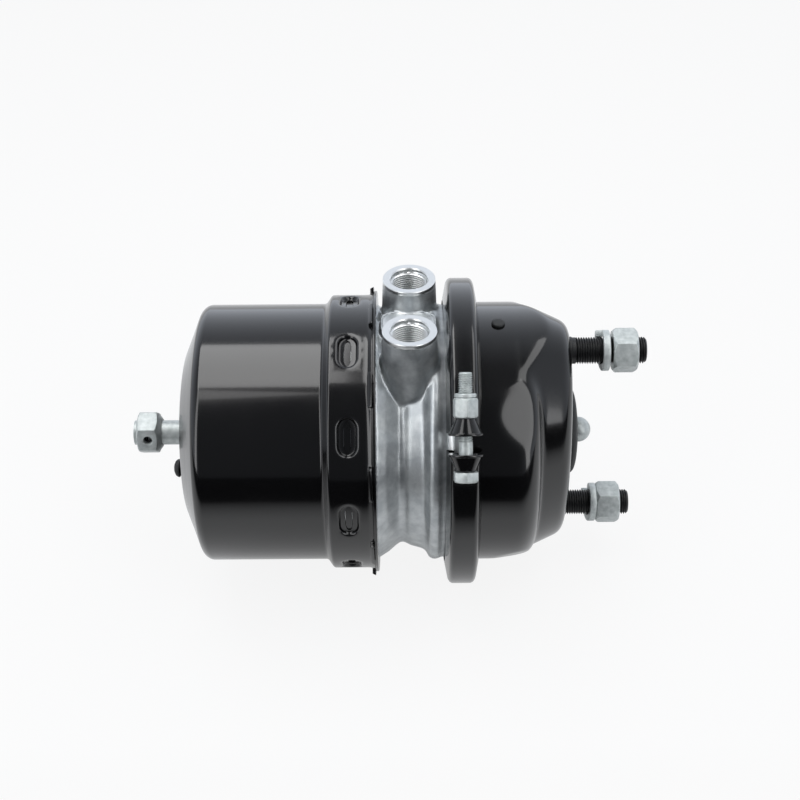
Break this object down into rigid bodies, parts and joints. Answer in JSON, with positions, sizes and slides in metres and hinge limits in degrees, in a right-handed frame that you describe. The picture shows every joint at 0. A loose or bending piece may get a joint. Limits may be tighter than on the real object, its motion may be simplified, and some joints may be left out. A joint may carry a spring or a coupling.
{
  "type": "air brake chamber",
  "caption": "Combined spring and service brake chamber for an air disc brake, with two stud mounts, two air ports and a ball-ended push rod.",
  "frame": {"origin": "centre of the service housing's mounting face, on the chamber axis", "axes": "+X along the chamber axis towards the studs and the push rod, +Z the way the two air ports face"},
  "size_m": [0.3157, 0.2064, 0.1898],
  "materials": {
    "black_paint": "gloss black enamel on pressed steel",
    "cast_aluminium": "die-cast, bead blasted, ports machined bright",
    "piston_aluminium": "die-cast, turned",
    "zinc_steel": "bright zinc plate",
    "plain_steel": "machined, oiled",
    "dark_steel": "black spring steel",
    "spring_steel": "coated spring steel",
    "black_stud": "black phosphate, threaded",
    "black_rubber": "matte black moulded rubber",
    "seal_rubber": "nitrile rubber",
    "guide_plastic": "natural acetal"
  },
  "bodies": {
    "housing": {"spring_drum": "black_paint", "drum_plug": "black_rubber", "spindle_bush": "zinc_steel", "flange_body": "cast_aluminium", "flange_o_ring": "seal_rubber", "tube_seal": "seal_rubber", "tube_guide_ring": "guide_plastic", "diaphragm": "seal_rubber", "return_spring": "spring_steel", "power_spring": "spring_steel", "push_rod_boot": "black_rubber", "service_housing": "black_paint", "vent_plug": "black_rubber", "mounting_studs": "black_stud", "stud_nuts": "zinc_steel", "stud_spring_washers": "zinc_steel", "clamp_half_lower": "black_paint", "clamp_half_upper": "black_paint", "clamp_bolts": "zinc_steel", "clamp_nuts": "zinc_steel", "thrust_washer": "plain_steel"},
    "release_screw": {"release_spindle": "zinc_steel", "spindle_hexagon": "zinc_steel", "spindle_pin": "dark_steel"},
    "travelling_nut": {"release_nut": "plain_steel"},
    "spring_piston_group": {"spring_piston": "piston_aluminium", "piston_seal": "seal_rubber", "piston_guide_ring": "guide_plastic", "piston_tube": "zinc_steel", "tube_foot": "guide_plastic"},
    "push_rod_group": {"push_rod_plate": "zinc_steel", "push_rod": "zinc_steel"}
  },
  "joints": [
    {"name": "spring_piston_slide", "type": "slide", "parent": "housing", "child": "spring_piston_group", "axis": [1, 0, 0], "range_m": [0, 0.064], "deforming": ["power_spring", "return_spring", "diaphragm"]},
    {"name": "release_spindle_turn", "type": "hinge", "parent": "housing", "child": "release_screw", "pos_m": [-0.26, 0, 0], "axis": [1, 0, 0], "range_deg": [0, 5760]},
    {"name": "release_nut_slide", "type": "slide", "parent": "housing", "child": "travelling_nut", "axis": [1, 0, 0], "range_m": [0, 0.064]},
    {"name": "push_rod_slide", "type": "slide", "parent": "housing", "child": "push_rod_group", "axis": [1, 0, 0], "range_m": [0, 0.064]}
  ],
  "couplings": [
    {"joint": "release_spindle_turn", "follows": "spring_piston_slide", "rad_per_m": 1570.8},
    {"joint": "release_nut_slide", "follows": "spring_piston_slide", "ratio": 1},
    {"joint": "push_rod_slide", "follows": "spring_piston_slide", "ratio": 1}
  ]
}
